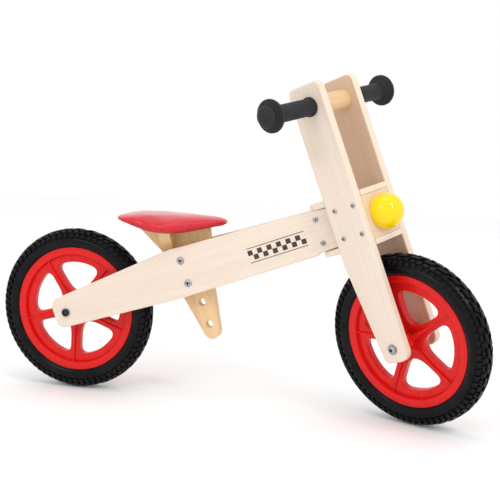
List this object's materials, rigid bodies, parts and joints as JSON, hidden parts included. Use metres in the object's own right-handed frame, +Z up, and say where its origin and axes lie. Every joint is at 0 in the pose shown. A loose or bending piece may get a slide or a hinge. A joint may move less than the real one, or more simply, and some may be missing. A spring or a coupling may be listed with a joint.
{
  "type": "balance bike",
  "caption": "Child's wooden balance bike with a plywood box frame, turning fork, foam-tyred spoked wheels, padded saddle on a drilled post and a ball lamp",
  "frame": {"origin": "Middle of the seat post's upper free hole, on the frame's mid-plane; the ground is 173 mm below", "axes": "+X forward along the bike, +Y to the rider's left along the hole, +Z up"},
  "size_m": [0.8796, 0.3102, 0.5665],
  "materials": {
    "pale_plywood": "clear satin lacquer",
    "tan_wood": "clear satin lacquer",
    "red_leatherette": "glossy, fine grain",
    "red_plastic": "moulded gloss",
    "tyre_foam": "matt with block tread",
    "grip_rubber": "matt moulded",
    "yellow_lacquer": "opaque gloss lacquer on turned wood",
    "zinc_steel": "zinc plated",
    "black_steel": "black oxide",
    "nylon": "natural nylon"
  },
  "bodies": {
    "frame": {"frame_plate_right": "pale_plywood", "frame_plate_left": "pale_plywood", "head_block": "pale_plywood", "head_screws": "zinc_steel", "steering_bushes": "nylon", "seat_spacer_right": "tan_wood", "seat_spacer_left": "tan_wood", "seat_post": "tan_wood", "seat_corbel_right": "tan_wood", "seat_corbel_left": "tan_wood", "seat_board": "tan_wood", "seat_pad": "red_leatherette", "seat_screws": "zinc_steel", "seat_bolts": "zinc_steel", "seat_sleeve_nuts": "zinc_steel", "rear_axle_bolt": "black_steel", "rear_axle_nut": "black_steel", "rear_axle_washers": "zinc_steel", "rear_axle_spacers": "zinc_steel"},
    "rear_wheel": {"rear_rim": "red_plastic", "rear_tyre": "tyre_foam", "rear_hub_bushes": "nylon"},
    "fork": {"fork_plate_right": "pale_plywood", "fork_plate_left": "pale_plywood", "fork_block": "pale_plywood", "fork_top_board": "pale_plywood", "fork_bottom_board": "pale_plywood", "board_dowels": "tan_wood", "fork_screws": "zinc_steel", "lamp_ball": "yellow_lacquer", "lamp_dowel": "tan_wood", "handlebar": "tan_wood", "grip_right": "grip_rubber", "grip_left": "grip_rubber", "front_axle_bolt": "zinc_steel", "front_axle_nut": "zinc_steel", "front_axle_washers": "zinc_steel", "front_axle_spacers": "zinc_steel", "steering_bolt": "zinc_steel", "steering_nut": "zinc_steel", "steering_washers": "zinc_steel"},
    "front_wheel": {"front_rim": "red_plastic", "front_tyre": "tyre_foam", "front_hub_bushes": "nylon"}
  },
  "joints": [
    {"name": "steering", "type": "hinge", "parent": "frame", "child": "fork", "pos_m": [0.31124, 0, -0.0496], "axis": [-0.3469, 0, 0.9379], "range_deg": [-19.5, 70.5]},
    {"name": "front_wheel_spin", "type": "hinge", "parent": "fork", "child": "front_wheel", "pos_m": [0.36288, -0.02626, -0.0305], "axis": [0.4038, 0.9026, 0.1494], "continuous": true},
    {"name": "rear_wheel_spin", "type": "hinge", "parent": "frame", "child": "rear_wheel", "pos_m": [-0.23876, 0, -0.02918], "axis": [0, 1, 0], "continuous": true}
  ]
}
